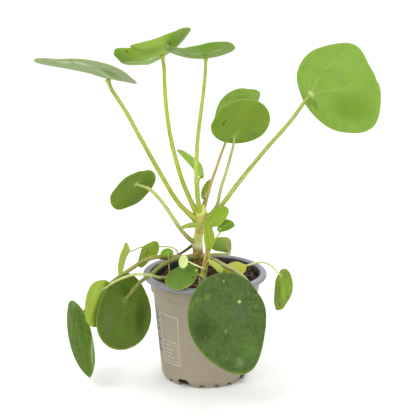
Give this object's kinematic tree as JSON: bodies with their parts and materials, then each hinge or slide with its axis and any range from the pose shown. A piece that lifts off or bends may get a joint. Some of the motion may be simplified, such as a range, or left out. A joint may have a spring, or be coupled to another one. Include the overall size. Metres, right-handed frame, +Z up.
{
  "type": "potted pilea plant",
  "caption": "House plant with round leaves on long stalks around an upright stem, with a young offshoot, growing in soil in a round plastic nursery pot.",
  "frame": {"origin": "centre of the pot's foot, at the height of the surface that the pot stands on", "axes": "+Z up along the pot's axis; -Y is the side seen in the picture, +X its right"},
  "size_m": [0.3167, 0.1657, 0.3431],
  "materials": {
    "pot_plastic": "taupe thin moulded plastic, satin, slightly scuffed",
    "potting_soil": "dark crumbly peat soil with reddish brown fibres and chips",
    "main_stem": "yellow-green fleshy stem with brown leaf scars",
    "offshoot_stem": "green-brown young stem",
    "leaf_stalk": "smooth pale green fleshy stalk, translucent, semi-gloss",
    "leaf_blade": "smooth fleshy green leaf with fine veins and speckles, satin, lets light through",
    "young_blade": "pale yellow-green young leaf, satin",
    "yellowed_blade": "yellowed old leaf, matt, greenish at one edge"
  },
  "bodies": {
    "root": {"blade_back_right": "leaf_blade", "blade_behind_middle_right": "leaf_blade", "blade_big_right": "leaf_blade", "blade_crown_upright": "leaf_blade", "blade_crown_young": "leaf_blade", "blade_far_left": "leaf_blade", "blade_front_big": "leaf_blade", "blade_left": "leaf_blade", "blade_left_big": "leaf_blade", "blade_left_edge_on": "leaf_blade", "blade_left_light": "leaf_blade", "blade_left_small": "leaf_blade", "blade_middle_right": "leaf_blade", "blade_offshoot_centre": "leaf_blade", "blade_offshoot_left": "leaf_blade", "blade_offshoot_pale": "young_blade", "blade_offshoot_right": "leaf_blade", "blade_offshoot_upper": "leaf_blade", "blade_over_rim": "leaf_blade", "blade_pale_young": "young_blade", "blade_right_hanging": "leaf_blade", "blade_small_round": "leaf_blade", "blade_top_left": "leaf_blade", "blade_top_middle": "leaf_blade", "blade_top_right": "leaf_blade", "blade_yellow": "yellowed_blade", "main_stem": "main_stem", "offshoot_stem": "offshoot_stem", "pot": "pot_plastic", "soil": "potting_soil", "stalk_back_right": "leaf_stalk", "stalk_behind_middle_right": "leaf_stalk", "stalk_big_right": "leaf_stalk", "stalk_crown_upright": "leaf_stalk", "stalk_crown_young": "leaf_stalk", "stalk_far_left": "leaf_stalk", "stalk_front_big": "leaf_stalk", "stalk_left": "leaf_stalk", "stalk_left_big": "leaf_stalk", "stalk_left_edge_on": "leaf_stalk", "stalk_left_light": "leaf_stalk", "stalk_left_small": "leaf_stalk", "stalk_middle_right": "leaf_stalk", "stalk_offshoot_centre": "leaf_stalk", "stalk_offshoot_left": "leaf_stalk", "stalk_offshoot_pale": "leaf_stalk", "stalk_offshoot_right": "leaf_stalk", "stalk_offshoot_upper": "leaf_stalk", "stalk_over_rim": "leaf_stalk", "stalk_pale_young": "leaf_stalk", "stalk_right_hanging": "leaf_stalk", "stalk_small_round": "leaf_stalk", "stalk_top_left": "leaf_stalk", "stalk_top_middle": "leaf_stalk", "stalk_top_right": "leaf_stalk", "stalk_yellow": "leaf_stalk"}
  },
  "joints": []
}
